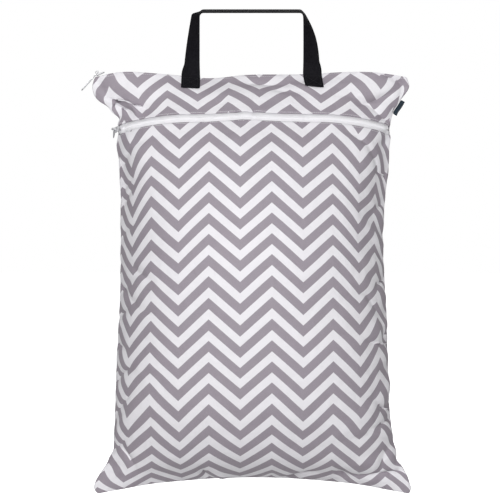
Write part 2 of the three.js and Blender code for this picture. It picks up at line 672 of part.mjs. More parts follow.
const bag = new THREE.Group();
bag.add(backPanel());
bag.add(clothPanel("front_pocket_panel", pocketUps));
bag.add(clothPanel("front_upper_panel", upperUps));
bag.add(...frontZip(), ...topZip());
bag.add(handle(), sideLabel());
for (const [zip, frame] of [
  ["front_zip", frontSliderFrame()],
  ["top_zip", topSliderFrame()],
]) {
  bag.add(slider(zip + "_slider", frame));
  bag.add(pull(zip + "_pull", frame, PULL_TILT));
}

export default bag;
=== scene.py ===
import math

import bmesh
import bpy
import numpy as np
from mathutils import Matrix, Vector


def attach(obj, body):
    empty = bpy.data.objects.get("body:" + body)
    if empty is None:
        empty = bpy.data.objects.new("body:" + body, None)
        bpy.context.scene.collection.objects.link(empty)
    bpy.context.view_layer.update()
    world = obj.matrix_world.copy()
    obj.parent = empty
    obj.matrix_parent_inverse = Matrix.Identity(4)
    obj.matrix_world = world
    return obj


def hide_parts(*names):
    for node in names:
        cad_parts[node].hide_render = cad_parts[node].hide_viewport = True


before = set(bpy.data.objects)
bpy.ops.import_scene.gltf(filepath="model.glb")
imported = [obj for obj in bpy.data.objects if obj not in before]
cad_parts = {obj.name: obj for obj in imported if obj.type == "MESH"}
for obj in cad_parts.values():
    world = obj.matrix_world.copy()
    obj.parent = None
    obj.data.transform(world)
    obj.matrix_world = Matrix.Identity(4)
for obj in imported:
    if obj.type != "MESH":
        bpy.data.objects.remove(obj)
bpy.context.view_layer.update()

# Printed cloth
# The bag is two rectangles of laminated polyester, sewn together down both sides and along the
# bottom. The front is cut in two by its zip. Filled, the flat cloth swells and puckers at its seams.

bag_width = 0.348
bag_depth = 0.200
body_height = 0.529
ridge_width = 0.012
cloth_width = 0.446
cloth_height = 0.600
cloth_thick = 0.0012
seam_gap = 0.0003
zip_up = 0.528
zip_opening = 0.009
zip_rise = 0.0035
loop_height = 0.081
strap_width = 0.025
bar_tilt = math.radians(16)

half_flat = cloth_width / 2
ridge_z = -loop_height - strap_width / 2 * math.sin(bar_tilt)
bottom_z = ridge_z - body_height

# up: share of the flat height. left, right: side seam, shares of half the bag width. side, middle:
# height of seam and centre line, shares of the body height. depth: share of half the bag depth.
# bend: how late a row leaves its middle height. swell: 0.5 is an ellipse, over 1 a flat tail.
section_names = ("up", "left", "right", "side", "middle", "depth", "bend", "swell")
sections = np.array([
    (0.000, 1.180, 1.185, -0.043, 0.0000, 0.000, 2.0, 1.30),
    (0.020, 1.208, 1.200, -0.028, 0.0040, 0.118, 2.0, 1.20),
    (0.045, 1.185, 1.180, -0.008, 0.0120, 0.262, 2.1, 1.05),
    (0.070, 1.140, 1.147, 0.018, 0.0245, 0.395, 2.2, 0.95),
    (0.100, 1.087, 1.090, 0.045, 0.0470, 0.540, 2.4, 0.80),
    (0.140, 1.057, 1.073, 0.078, 0.0790, 0.703, 2.6, 0.65),
    (0.185, 1.048, 1.044, 0.121, 0.1230, 0.834, 3.0, 0.55),
    (0.250, 1.038, 1.026, 0.190, 0.1940, 0.935, 3.0, 0.50),
    (0.350, 1.030, 1.018, 0.294, 0.3040, 1.000, 3.0, 0.50),
    (0.450, 1.012, 1.007, 0.398, 0.4170, 1.000, 3.0, 0.50),
    (0.550, 1.002, 0.991, 0.500, 0.5300, 0.990, 3.0, 0.50),
    (0.650, 1.001, 0.979, 0.600, 0.6430, 0.915, 3.0, 0.50),
    (0.750, 1.002, 1.002, 0.705, 0.7550, 0.770, 3.2, 0.50),
    (0.820, 1.016, 1.028, 0.786, 0.8300, 0.625, 3.6, 0.50),
    (0.870, 1.032, 1.041, 0.852, 0.8810, 0.495, 4.0, 0.55),
    (0.900, 1.015, 1.050, 0.885, 0.9090, 0.390, 4.0, 0.70),
    (0.930, 1.085, 1.080, 0.915, 0.9360, 0.280, 4.0, 1.00),
    (0.960, 1.190, 1.135, 0.944, 0.9630, 0.165, 4.0, 1.30),
    (0.980, 1.222, 1.187, 0.972, 0.9820, 0.085, 4.0, 1.50),
    (1.000, 1.197, 1.163, 0.997, 1.0000, 0.000, 4.0, 1.60),
])
section_column = {name: sections[:, i] for i, name in enumerate(section_names)}

# Dips and rises of the top edge: across is a share of half the flat width, rise of the body height.
ridge_across = np.array([-1.0, -0.84, -0.55, -0.26, -0.05, 0.3, 0.75, 1.0])
ridge_rise = np.array([0.0, 0.009, 0.002, -0.008, 0.0, 0.002, 0.008, 0.0])


def smooth_column(key, column, at):
    """Smooth value of a table's column at places along its key column."""
    at = np.asarray(at, float)
    slopes = np.diff(column) / np.diff(key)
    knot = np.concatenate([slopes[:1], (slopes[1:] + slopes[:-1]) / 2, slopes[-1:]])
    i = np.clip(np.searchsorted(key, at, side="right") - 1, 0, len(key) - 2)
    step = key[i + 1] - key[i]
    u = np.clip((at - key[i]) / step, 0, 1)
    ease = u * u * (3 - 2 * u)
    bow = knot[i] * u * (1 - u) ** 2 - knot[i + 1] * u * u * (1 - u)
    return column[i] + (column[i + 1] - column[i]) * ease + step * bow


def smoothstep(x, low, high):
    u = np.clip((x - low) / (high - low), 0, 1)
    return u * u * (3 - 2 * u)


def filled_form(ups, acrosses):
    """The cloth's place when the bag is full: rows by columns of points on the front half."""
    turn = np.sin(np.linspace(0, math.pi / 2, 200))
    rows = []
    for up in ups:
        value = {k: float(smooth_column(section_column["up"], c, up)) for k, c in section_column.items()}
        depth = max(0.0, value["depth"]) * bag_depth / 2
        profile = np.clip(1 - turn**2, 0, 1) ** value["swell"]
        share = np.zeros(len(acrosses))
        half = np.where(acrosses < 0, value["left"], value["right"]) * bag_width / 2
        for side in ("left", "right"):
            steps = np.hypot(np.diff(turn) * value[side] * bag_width / 2, np.diff(profile) * depth)
            along = np.concatenate([[0], np.cumsum(steps)])
            here = acrosses < 0 if side == "left" else acrosses >= 0
            share[here] = np.interp(np.abs(acrosses[here]) * along[-1], along, turn)
        ridge = ridge_width / 2 * smoothstep(up, 0.93, 1) * (1 - share**12)
        deep = depth * np.clip(1 - share**2, 0, 1) ** value["swell"] + ridge
        line = smoothstep(up, 0.9, 1) * smooth_column(ridge_across, ridge_rise, acrosses)
        height = value["middle"] + (value["side"] - value["middle"]) * share ** value["bend"] + line
        near_zip = ((up - zip_up / cloth_height) / 0.05) ** 2 + ((acrosses + 0.05) / 0.16) ** 2
        z = bottom_z + body_height * height + zip_rise * np.exp(-near_zip)
        rows.append(np.stack([np.sign(acrosses) * share * half, -(seam_gap / 2 + deep), z], axis=1))
    return np.array(rows)


# The cloth swells in a simulation: its rest size is the flat cut, and it starts from the full form.
# Its wrinkles are kept, and its slow drift away from the measured form is mostly taken out.
cell = 0.0052
columns = round(cloth_width / cell)
rows = round(cloth_height / cell)
flat_ups = np.linspace(0, 1, rows + 1)
flat_across = np.linspace(-1, 1, columns + 1)


def grid_mesh(bm, across_count, up_count):
    """A plain grid of vertices, row by row from the bottom, in a bmesh."""
    made = bmesh.ops.create_grid(bm, x_segments=across_count, y_segments=up_count, size=1)
    return made["verts"]


def blur(field, reach):
    """Each point's average with its neighbours, over about reach cells, both ways."""
    steps = np.arange(-3 * reach, 3 * reach + 1)
    weight = np.exp(-0.5 * (steps / reach) ** 2)
    weight /= weight.sum()
    for axis in (0, 1):
        pad = [(0, 0)] * field.ndim
        pad[axis] = (3 * reach, 3 * reach)
        padded = np.pad(field, pad, mode="reflect", reflect_type="odd")
        field = sum(w * np.roll(padded, -s, axis)[tuple(slice(p[0], -p[1] or None) for p in pad)]
                    for w, s in zip(weight, steps))
    return field


sim_frames = 14
sim_quality = 6
sim_mass = 0.01
sim_pressure = 20
sim_stretch = 80
sim_shear = 4
sim_bend = 0.05
sim_damp = 1
sim_pace = 2
sim_pinned = 0.7
sim_parted = 0.0005


def simulate_cloth(front, back):
    """Steps the two sewn halves under pressure, and returns both halves' grids as they end up."""
    bm = bmesh.new()
    place = bm.verts.layers.int.new("place")
    flat = bm.verts.layers.float_vector.new("flat")
    for side, grid in ((0, front), (1, back)):
        verts = grid_mesh(bm, columns, rows)
        for i, vert in enumerate(verts):
            r, c = divmod(i, columns + 1)
            on_seam = r in (0, rows) or c in (0, columns)
            vert[place] = i + side * len(verts)
            lift = 0 if on_seam else (sim_parted if side else -sim_parted)
            vert[flat] = (flat_across[c] * half_flat, lift, flat_ups[r] * cloth_height)
            x, y, z = grid[r, c]
            vert.co = (x, 0 if on_seam and r != rows else y, z)
    bmesh.ops.remove_doubles(bm, verts=bm.verts, dist=1e-6)
    bmesh.ops.recalc_face_normals(bm, faces=bm.faces)
    mesh = bpy.data.meshes.new("cloth_trial")
    bm.to_mesh(mesh)
    places = np.array([v[place] for v in bm.verts])
    flats = np.array([v[flat] for v in bm.verts])
    bm.free()
    cloth = bpy.data.objects.new("cloth_trial", mesh)
    bpy.context.scene.collection.objects.link(cloth)
    cloth.shape_key_add(name="Basis")
    rest = cloth.shape_key_add(name="flat")
    rest.data.foreach_set("co", flats.ravel())
    group = cloth.vertex_groups.new(name="held")
    to_side = half_flat - np.abs(flats[:, 0])
    from_seam = np.minimum(to_side, np.minimum(flats[:, 2], cloth_height - flats[:, 2]))
    for i, away in enumerate(from_seam):
        group.add([i], sim_pinned if away < 0.001 else 0.0, "REPLACE")
    modifier = cloth.modifiers.new("cloth", "CLOTH")
    settings = modifier.settings
    settings.rest_shape_key = rest
    settings.vertex_group_mass = "held"
    settings.pin_stiffness = 1.0
    settings.quality = sim_quality
    settings.mass = sim_mass
    settings.tension_stiffness = sim_stretch
    settings.compression_stiffness = sim_stretch
    settings.shear_stiffness = sim_shear
    settings.bending_stiffness = sim_bend
    settings.tension_damping = sim_damp
    settings.compression_damping = sim_damp
    settings.shear_damping = sim_damp
    settings.time_scale = sim_pace
    settings.air_damping = 1
    settings.use_pressure = True
    settings.uniform_pressure_force = sim_pressure
    settings.effector_weights.gravity = 0
    modifier.collision_settings.use_collision = False
    modifier.point_cache.frame_start = 1
    modifier.point_cache.frame_end = sim_frames
    for step in range(1, sim_frames + 1):
        bpy.context.scene.frame_set(step)
    settled = cloth.evaluated_get(bpy.context.evaluated_depsgraph_get()).to_mesh()
    points = np.empty(len(settled.vertices) * 3)
    settled.vertices.foreach_get("co", points)
    points = points.reshape(-1, 3)
    cloth.to_mesh_clear()
    count = (rows + 1) * (columns + 1)
    halves = np.full((2 * count, 3), np.nan)
    halves[places] = points
    halves = halves.reshape(2, rows + 1, columns + 1, 3)
    missing = np.isnan(halves[1, ..., 0])
    halves[1][missing] = halves[0][missing]
    missing = np.isnan(halves[0, ..., 0])
    halves[0][missing] = halves[1][missing]
    bpy.context.scene.frame_set(1)
    bpy.data.objects.remove(cloth)
    return halves[0], halves[1]


wrinkle_gain = 2.2
wrinkle_reach = 6
drift_kept = 0.3
wrinkle_cap = 0.006
fine_columns = 240
fine_rows = 320
fine_ups = np.linspace(0, 1, fine_rows + 1)
fine_across = np.linspace(-1, 1, fine_columns + 1)
gather_late = 3.5
gather_late_top = 7
halves_apart = 0.0001


def sampled(grid, across, up):
    """Values of a grid over the flat cloth at any places on it."""
    high, wide = grid.shape[0] - 1, grid.shape[1] - 1
    x = np.clip((np.asarray(across, float) + 1) / 2, 0, 1) * wide
    y = np.clip(np.asarray(up, float), 0, 1) * high
    c = np.minimum(x.astype(int), wide - 1)
    r = np.minimum(y.astype(int), high - 1)
    fx = (x - c)[..., None]
    fy = (y - r)[..., None]
    low = grid[r, c] * (1 - fx) + grid[r, c + 1] * fx
    top = grid[r + 1, c] * (1 - fx) + grid[r + 1, c + 1] * fx
    return low * (1 - fy) + top * fy


# across, up to to_across, to_up: shares of the half width and height of the flat cloth. wide: share
# of its width. deep: share of the bag's depth, negative for a raised fold. hides: cloth taken in.
front_folds = [
    (-0.930, 0.957, -0.760, 0.918, 0.010, 0.048, 0.022),
    (-0.870, 0.935, -0.830, 0.895, 0.009, -0.036, 0.010),
    (-0.955, 0.925, -0.905, 0.905, 0.009, 0.024, 0.010),
    (-0.800, 0.900, -0.700, 0.893, 0.009, 0.014, 0.005),
    (-0.980, 0.938, -0.860, 0.928, 0.007, 0.020, 0.009),
    (-0.970, 0.915, -0.850, 0.908, 0.007, 0.022, 0.009),
    (-0.960, 0.898, -0.860, 0.890, 0.006, 0.016, 0.006),
    (-0.900, 0.926, -0.840, 0.903, 0.008, -0.028, 0.006),
    (0.930, 0.955, 0.740, 0.925, 0.014, 0.026, 0.009),
    (0.980, 0.900, 0.860, 0.893, 0.012, 0.022, 0.009),
    (-0.050, 0.975, 0.220, 0.972, 0.014, 0.016, 0.006),
    (0.030, 0.958, 0.330, 0.940, 0.013, 0.012, 0.005),
    (0.280, 0.975, 0.420, 0.945, 0.012, -0.012, 0.003),
    (-0.180, 0.930, -0.280, 0.900, 0.012, 0.010, 0.004),
    (0.600, 0.862, 0.820, 0.825, 0.014, 0.022, 0.008),
    (-0.830, 0.570, -0.600, 0.520, 0.014, 0.018, 0.006),
    (0.700, 0.500, 0.880, 0.450, 0.014, 0.014, 0.005),
    (-0.330, 0.064, -0.290, 0.012, 0.020, 0.032, 0.014),
    (-0.210, 0.052, -0.170, 0.012, 0.016, -0.022, 0.006),
    (0.120, 0.050, 0.100, 0.010, 0.020, 0.016, 0.005),
    (0.220, 0.016, 0.370, 0.058, 0.018, 0.032, 0.014),
    (0.550, 0.070, 0.600, 0.020, 0.022, 0.028, 0.008),
    (-0.900, 0.140, -0.780, 0.085, 0.016, 0.024, 0.010),
    (0.920, 0.130, 0.800, 0.075, 0.016, 0.022, 0.009),
]
back_folds = [
    (-0.940, 0.950, -0.760, 0.920, 0.012, 0.028, 0.006),
    (0.940, 0.950, 0.780, 0.915, 0.012, 0.028, 0.006),
    (-0.400, 0.960, -0.050, 0.940, 0.015, 0.012, 0.003),
    (0.200, 0.930, 0.480, 0.950, 0.015, 0.012, 0.003),
    (0.780, 0.620, 0.560, 0.580, 0.016, 0.016, 0.004),
    (-0.860, 0.420, -0.640, 0.380, 0.016, 0.016, 0.004),
    (-0.450, 0.060, -0.500, 0.015, 0.024, 0.026, 0.006),
    (0.020, 0.050, 0.050, 0.012, 0.026, 0.022, 0.005),
    (0.480, 0.065, 0.540, 0.015, 0.022, 0.026, 0.006),
]
fold_ends = 0.35
pucker_step = 0.021
pucker_deep = {-1: 0.0036, 1: 0.0062}
pucker_reach = 0.050
pucker_hides = 1.1


# Small steps of the side seams where a pucker crosses them. Rows: side, up, then how tall the step is
# and how far it stands out, in mm.
seam_steps = [
    (-1, 0.940, 5, -2.2), (-1, 0.925, 4, 2.0), (-1, 0.908, 4, -2.0), (-1, 0.893, 4, 1.6),
    (-1, 0.868, 5, -1.8), (-1, 0.850, 5, 1.0), (1, 0.925, 5, -1.2), (1, 0.885, 4, -1.2),
    (-1, 0.130, 6, -1.8), (-1, 0.105, 6, 1.6), (1, 0.120, 6, 1.6), (1, 0.095, 6, -1.6),
    (1, 0.150, 5, -1.2), (-1, 0.075, 5, -1.0),
]
seam_reach = 0.016
seam_seed = 21

# How far from each seam the creases fade out, and how much of them the zip lets through.
held_side = 0.012
held_bottom = 0.016
held_top = 0.010
held_zip = 0.030
zip_gives = 0.15


def seam_shifts():
    """How far the cloth stands out to its side at each fine grid point, the same in both halves."""
    across, up = np.meshgrid(fine_across, fine_ups)
    edge = half_flat - np.abs(across) * half_flat
    dice = np.random.default_rng(seam_seed)
    steps = list(seam_steps)
    for side in (-1, 1):
        for place in np.arange(0.03, 0.97, 0.024):
            here = place + dice.uniform(-0.009, 0.009)
            steps.append((side, here, dice.uniform(3, 6), dice.uniform(-0.9, 0.7)))
    out = np.zeros_like(across)
    for side, place, tall, far in steps:
        line = (up - place) * cloth_height / (tall / 1000)
        out += side * far / 1000 * np.exp(-line**2) * (across * side > 0)
    return out * np.exp(-((edge / seam_reach) ** 2))


def folded_cloth(form, folds, seed):
    """The full form drawn in by its creases and the puckers of its side seams, and how deep these sink it."""
    across, up = np.meshgrid(fine_across, fine_ups)
    x, z = across * half_flat, up * cloth_height
    deep = np.zeros_like(x)
    shift = np.zeros(x.shape + (2,))
    for from_across, from_up, to_across, to_up, wide, depth, hides in folds:
        x0, z0 = from_across * half_flat, from_up * cloth_height
        dx, dz = to_across * half_flat - x0, to_up * cloth_height - z0
        length = math.hypot(dx, dz)
        along = np.clip(((x - x0) * dx + (z - z0) * dz) / length**2, 0, 1)
        away = np.hypot(x - x0 - along * dx, z - z0 - along * dz) / (wide * cloth_width)
        aside = ((x - x0) * dz - (z - z0) * dx) / length / (wide * cloth_width)
        swell = fold_ends + (1 - fold_ends) * np.sin(math.pi * along)
        deep += depth * bag_depth * np.exp(-away**2) * swell
        taken = hides / 2 * np.tanh(aside) * np.exp(-((away / 4) ** 2)) * swell
        shift[..., 0] -= taken * dz / length
        shift[..., 1] += taken * dx / length
    dice = np.random.default_rng(seed)
    edge = half_flat - np.abs(x)
    for side in (-1, 1):
        place = 0.02
        while place < cloth_height - 0.02:
            place += pucker_step * dice.uniform(0.55, 1.5)
            wide = dice.uniform(0.0045, 0.0090)
            reach = pucker_reach * dice.uniform(0.5, 1.5)
            depth = pucker_deep[side] * dice.uniform(0.3, 1.4) * dice.choice([1, 1, -0.7])
            slant = dice.uniform(-0.7, 0.7)
            line = (z - place - slant * edge) / wide
            fades = np.exp(-((edge / reach) ** 2)) * (x * side > 0)
            deep += depth * np.exp(-line**2) * fades
            shift[..., 1] -= pucker_hides * depth * np.tanh(line) * np.exp(-((line / 4) ** 2)) * fades
    to_zip = np.abs(z - zip_up)
    held = np.minimum(smoothstep(edge, -0.002, held_side), smoothstep(z, 0, held_bottom))
    held *= smoothstep(cloth_height - z, 0, held_top)
    if folds is front_folds:
        held *= zip_gives + (1 - zip_gives) * smoothstep(to_zip, 0.004, held_zip)
    moved_across = across + shift[..., 0] * held / half_flat
    moved_up = up + shift[..., 1] * held / cloth_height
    return sampled(form, moved_across, moved_up), deep * held


# The gathers also draw the cloth up beside the seams. First column: share of the cloth's height, and
# then how far the print is drawn up, in mm, at the places across.
drawn_across = np.array([-1.0, -0.85, -0.62, -0.35, 0.0, 0.35, 0.64, 0.87, 1.0])
drawn_up = np.array([
    (0.000, -4.0, -4.0, -8.0, -6.0, -1.5, -3.0, -5.0, -4.0, -4.0),
    (0.135, -4.0, -4.0, -8.0, -6.0, -1.5, -3.0, -5.0, -4.0, -4.0),
    (0.210, -1.0, -1.0, -6.0, -3.5, -1.5, -3.0, -1.0, -1.0, -1.0),
    (0.280, 0.0, 0.0, -2.5, -2.0, 0.0, -1.5, 0.0, 1.5, 1.5),
    (0.347, 1.5, 1.5, -1.0, -1.0, 0.0, 0.0, 1.5, 4.0, 4.0),
    (0.414, 1.5, 1.5, -1.0, -1.0, 0.0, 0.0, 3.0, 4.5, 4.5),
    (0.480, 4.0, 4.0, 0.0, -0.5, 0.5, 1.0, 4.0, 6.0, 6.0),
    (0.546, 8.0, 8.0, 0.0, 0.0, 1.0, 1.0, 5.0, 5.0, 5.0),
    (0.613, 8.0, 8.0, 1.0, 0.0, 0.0, 1.0, 5.0, 7.0, 7.0),
    (0.680, 9.0, 9.0, 4.0, 0.0, -1.0, 0.5, 5.0, 9.0, 9.0),
    (0.745, 9.0, 9.0, 4.0, 0.0, 0.0, 0.0, 2.5, 5.5, 5.5),
    (0.815, 8.0, 8.0, 1.0, 0.0, -1.0, 0.0, 1.0, 3.0, 3.0),
    (0.880, 8.0, 8.0, 1.0, 0.0, -1.0, 0.0, 1.0, 3.0, 3.0),
    (0.900, 2.0, 2.0, 0.0, 0.0, 3.0, -2.0, -3.0, -1.0, -1.0),
    (0.950, 0.0, 0.0, -2.5, -1.5, 2.5, -5.0, -5.5, -2.5, -2.0),
    (1.000, 0.0, 0.0, -4.0, -1.5, 1.0, -6.0, -7.0, -3.0, -2.0),
])


def drawn_heights():
    """How far the front's print is drawn up at each fine grid point, in metres."""
    columns_up = [smooth_column(drawn_up[:, 0], column, fine_ups) for column in drawn_up[:, 1:].T]
    return np.array([smooth_column(drawn_across, row, fine_across) for row in np.array(columns_up).T]) / 1000


def printed_places(points):
    """Where on the flat cloth each point of a row lies: true to size in the middle of the bag, and
    gathered towards the side seams where the full bag is narrower than its cloth."""
    middle = fine_columns // 2
    flat = np.linspace(0, half_flat, 300)
    places = np.zeros(points.shape[:2] + (1,))
    for row, up, steps in zip(places, fine_ups, np.linalg.norm(np.diff(points, axis=1), axis=2)):
        for sign, run in ((-1, steps[:middle][::-1]), (1, steps[middle:])):
            along = np.concatenate([[0], np.cumsum(run)])
            spare = half_flat - along[-1]
            late = min(gather_late_top, 0.9 * half_flat / max(spare, 0.001)) if up > 0.88 else gather_late
            drawn = flat - spare * (flat / half_flat) ** late
            place = sign * np.interp(along, drawn, flat)
            if sign < 0:
                row[: middle + 1, 0] = place[::-1]
            else:
                row[middle:, 0] = place
    return places


def with_normals(points, outward):
    normals = np.cross(np.gradient(points, axis=1), np.gradient(points, axis=0))
    normals /= np.maximum(np.linalg.norm(normals, axis=2, keepdims=True), 1e-9)
    return normals * outward


front_form = filled_form(flat_ups, flat_across)
back_form = filled_form(flat_ups, flat_across) * (1, -1, 1)
settled = simulate_cloth(front_form, back_form)
wrinkles = []
for grid, form in zip(settled, (front_form, back_form)):
    moved = grid - form
    slow = blur(moved, wrinkle_reach)
    kept = wrinkle_gain * (moved - slow) + drift_kept * slow
    size = np.linalg.norm(kept, axis=2, keepdims=True)
    wrinkles.append(kept * np.minimum(1, wrinkle_cap / np.maximum(size, 1e-9)))
front_wrinkles, back_wrinkles = wrinkles

cloths = {}
prints = {}
for name, wrinkled, outward, folds, seed in (
    ("front", front_wrinkles, 1, front_folds, 4),
    ("back", back_wrinkles, -1, back_folds, 9),
):
    full = filled_form(fine_ups, fine_across) * (1, outward, 1)
    heights = np.repeat(fine_ups[:, None] * cloth_height, fine_columns + 1, axis=1)
    if name == "front":
        heights = heights - drawn_heights()
    prints[name] = np.concatenate([printed_places(full), heights[..., None]], axis=2)
    points, deep = folded_cloth(full, folds, seed)
    normals = with_normals(points, outward)
    spread = np.stack(np.meshgrid(fine_across, fine_ups), axis=2)
    points = points - normals * deep[..., None] + sampled(wrinkled, spread[..., 0], spread[..., 1])
    points[..., 0] += seam_shifts()
    points[..., 1] = np.minimum(points[..., 1] * outward, -halves_apart) * outward
    cloths[name] = (points, with_normals(points, outward))


def on_cloth(side, across, up, out=0.0):
    """Places over the inner face of the front or back cloth, out metres off it."""
    points, normals = cloths[side]
    normal = sampled(normals, across, up)
    normal = normal / np.linalg.norm(normal, axis=-1, keepdims=True)
    return sampled(points, across, up) + normal * np.asarray(out, float)[..., None]


def node(tree, kind, values=None, **settings):
    """A shader node whose named inputs get sockets to link or plain values."""
    made = tree.nodes.new("ShaderNode" + kind)
    for key, value in settings.items():
        setattr(made, key, value)
    for key, value in (values or {}).items():
        if isinstance(value, bpy.types.NodeSocket):
            tree.links.new(value, made.inputs[key])
        else:
            made.inputs[key].default_value = value
    return made


def maths(tree, operation, a, b=0.0, clamp=False):
    made = node(tree, "Math", {0: a, 1: b}, operation=operation, use_clamp=clamp)
    return made.outputs[0]


def ramp(tree, value, low, high, start=0.0, end=1.0):
    """A soft step of a value, from start at low to end at high."""
    values = {"Value": value, "From Min": low, "From Max": high, "To Min": start, "To Max": end}
    return node(tree, "MapRange", values, interpolation_type="SMOOTHSTEP").outputs["Result"]


def blend_colour(tree, mask, first, second):
    made = node(tree, "Mix", {0: mask, 6: first, 7: second}, data_type="RGBA")
    return made.outputs[2]


def effect_group(name, inputs, outputs):
    """A shared node group with value inputs, one vector input and value outputs."""
    group = bpy.data.node_groups.new(name, "ShaderNodeTree")
    group.interface.new_socket("Vector", in_out="INPUT", socket_type="NodeSocketVector")
    for key in inputs:
        group.interface.new_socket(key, in_out="INPUT", socket_type="NodeSocketFloat")
    for key in outputs:
        group.interface.new_socket(key, in_out="OUTPUT", socket_type="NodeSocketFloat")
    return group, group.nodes.new("NodeGroupInput").outputs, group.nodes.new("NodeGroupOutput").inputs


# Plain weave: threads that go over and under each other, Across and Up apart. Thread differs by yarn.
weave, given, gives = effect_group("plain_weave", ("Across", "Up"), ("Height", "Thread"))
flat_place = node(weave, "SeparateXYZ", {0: given["Vector"]}).outputs
warp = maths(weave, "DIVIDE", flat_place["X"], given["Across"])
weft = maths(weave, "DIVIDE", flat_place["Y"], given["Up"])
warp_wave = maths(weave, "SINE", maths(weave, "MULTIPLY", warp, math.pi))
weft_wave = maths(weave, "SINE", maths(weave, "MULTIPLY", weft, math.pi))
over = ramp(weave, maths(weave, "MULTIPLY", warp_wave, weft_wave), -0.2, 0.2)
warp_high = maths(weave, "MULTIPLY", maths(weave, "ABSOLUTE", warp_wave), over)
weft_high = maths(weave, "MULTIPLY", maths(weave, "ABSOLUTE", weft_wave), maths(weave, "SUBTRACT", 1.0, over))
weave.links.new(maths(weave, "ADD", warp_high, weft_high), gives["Height"])
yarns = node(weave, "CombineXYZ", {"X": maths(weave, "FLOOR", warp), "Y": maths(weave, "FLOOR", weft)})
yarn_noise = node(weave, "TexWhiteNoise", {"Vector": yarns.outputs[0]}, noise_dimensions="2D")
weave.links.new(yarn_noise.outputs["Value"], gives["Thread"])

# Handling: small rumples and soft blotches that cloth and straps get when they are packed and used.
handling, given, gives = effect_group("handling", ("Rumple", "Blotch"), ("Height", "Shade"))
fine = node(handling, "TexNoise", {"Vector": given["Vector"], "Scale": given["Rumple"], "Detail": 3.0})
coarse = node(handling, "TexNoise", {"Vector": given["Vector"], "Scale": given["Blotch"], "Detail": 2.0})
handling.links.new(fine.outputs["Fac"], gives["Height"])
handling.links.new(coarse.outputs["Fac"], gives["Shade"])


def grouped(tree, group, vector, **values):
    made = node(tree, "Group", {}, node_tree=group)
    tree.links.new(vector, made.inputs["Vector"])
    for key, value in values.items():
        made.inputs[key].default_value = value
    return made.outputs


def new_material(name, roughness, **sockets):
    material = bpy.data.materials.new(name)
    material.use_nodes = True
    shader = material.node_tree.nodes["Principled BSDF"]
    shader.inputs["Roughness"].default_value = roughness
    for key, value in sockets.items():
        shader.inputs[key.replace("_", " ")].default_value = value
    return material, material.node_tree, shader


# The print: zigzag stripes in warm grey on white. rise: slope of a zigzag leg. trough and centre:
# where, on the flat cloth, a valley and the middle of a grey stripe lie.
zigzag_half = 0.0402
zigzag_repeat = 0.0272
zigzag_rise = 0.886
zigzag_grey = 0.52
print_white = (0.80, 0.785, 0.82, 1)
print_grey = (0.258, 0.224, 0.262, 1)
print_grey_worn = (0.312, 0.277, 0.318, 1)
print_white_worn = (0.77, 0.755, 0.79, 1)
thread_shade = (0.55, 0.53, 0.56, 1)
# Painted shade: the colour the cloth darkens towards in the groove of its side seams.
seam_groove_shade = (0.16, 0.14, 0.16, 1)
thread_pitch = 0.00042


def printed_cloth(name, trough, centre):
    material, tree, shader = new_material(name, 0.62, Sheen_Weight=0.12, Sheen_Roughness=0.5)
    flat = node(tree, "UVMap", uv_map="flat").outputs["UV"]
    part = node(tree, "SeparateXYZ", {0: flat}).outputs
    solid = node(tree, "TexCoord").outputs["Object"]
    wobble = node(tree, "TexNoise", {"Vector": flat, "Scale": 260.0, "Detail": 2.0}).outputs["Fac"]
    leg = maths(tree, "PINGPONG", maths(tree, "SUBTRACT", part["X"], trough), zigzag_half)
    stripe = maths(tree, "SUBTRACT", part["Y"], maths(tree, "MULTIPLY", leg, zigzag_rise))
    stripe = maths(tree, "PINGPONG", maths(tree, "SUBTRACT", stripe, centre), zigzag_repeat / 2)
    stripe = maths(tree, "ADD", stripe, maths(tree, "MULTIPLY", wobble, 0.0004))
    edge = zigzag_grey * zigzag_repeat / 2
    inked = ramp(tree, stripe, edge - 0.0001, edge + 0.0005, 1.0, 0.0)
    threads = grouped(tree, weave, flat, Across=thread_pitch, Up=thread_pitch)
    rumples = grouped(tree, handling, solid, Rumple=85.0, Blotch=24.0)
    uneven = maths(tree, "MULTIPLY_ADD", rumples["Shade"], 0.7)
    uneven.node.inputs[2].default_value = 0.15
    ink = blend_colour(tree, uneven, print_grey, print_grey_worn)
    ground = blend_colour(tree, uneven, print_white_worn, print_white)
    colour = blend_colour(tree, inked, ground, ink)
    yarn = maths(tree, "MULTIPLY", threads["Thread"], 0.10)
    colour = blend_colour(tree, yarn, colour, thread_shade)
    # Painted shade: within 2 mm of the side seams the cloth colour darkens, standing in for the shade in the
    # seam's groove.
    from_seam = maths(tree, "SUBTRACT", half_flat, maths(tree, "ABSOLUTE", part["X"]))
    colour = blend_colour(tree, ramp(tree, from_seam, 0.0, 0.0020, 0.40, 0.0), colour, seam_groove_shade)
    tree.links.new(colour, shader.inputs["Base Color"])
    rough = ramp(tree, rumples["Shade"], 0.3, 0.7, 0.54, 0.70)
    tree.links.new(rough, shader.inputs["Roughness"])
    wrinkled = node(tree, "Bump", {"Height": rumples["Height"], "Strength": 0.5, "Distance": 0.0030})
    woven = node(tree, "Bump", {"Height": threads["Height"], "Strength": 0.25, "Distance": 0.00012})
    tree.links.new(wrinkled.outputs[0], woven.inputs["Normal"])
    tree.links.new(woven.outputs[0], shader.inputs["Normal"])
    return material


def linked(name, bm, *materials, smooth=True):
    """A new object at the origin from a bmesh."""
    mesh = bpy.data.meshes.new(name)
    for face in bm.faces:
        face.smooth = smooth
    bm.to_mesh(mesh)
    bm.free()
    piece = bpy.data.objects.new(name, mesh)
    for material in materials:
        mesh.materials.append(material)
    bpy.context.scene.collection.objects.link(piece)
    return piece


def smoothed(piece, thick=0, levels=1):
    """Gives a sheet its thickness, half to each side, and rounds the piece off."""
    if thick:
        wall = piece.modifiers.new("wall", "SOLIDIFY")
        wall.thickness = thick
        wall.offset = 0
        wall.use_even_offset = False
    if levels:
        rounding = piece.modifiers.new("rounding", "SUBSURF")
        rounding.levels = levels
        rounding.render_levels = levels
    return piece


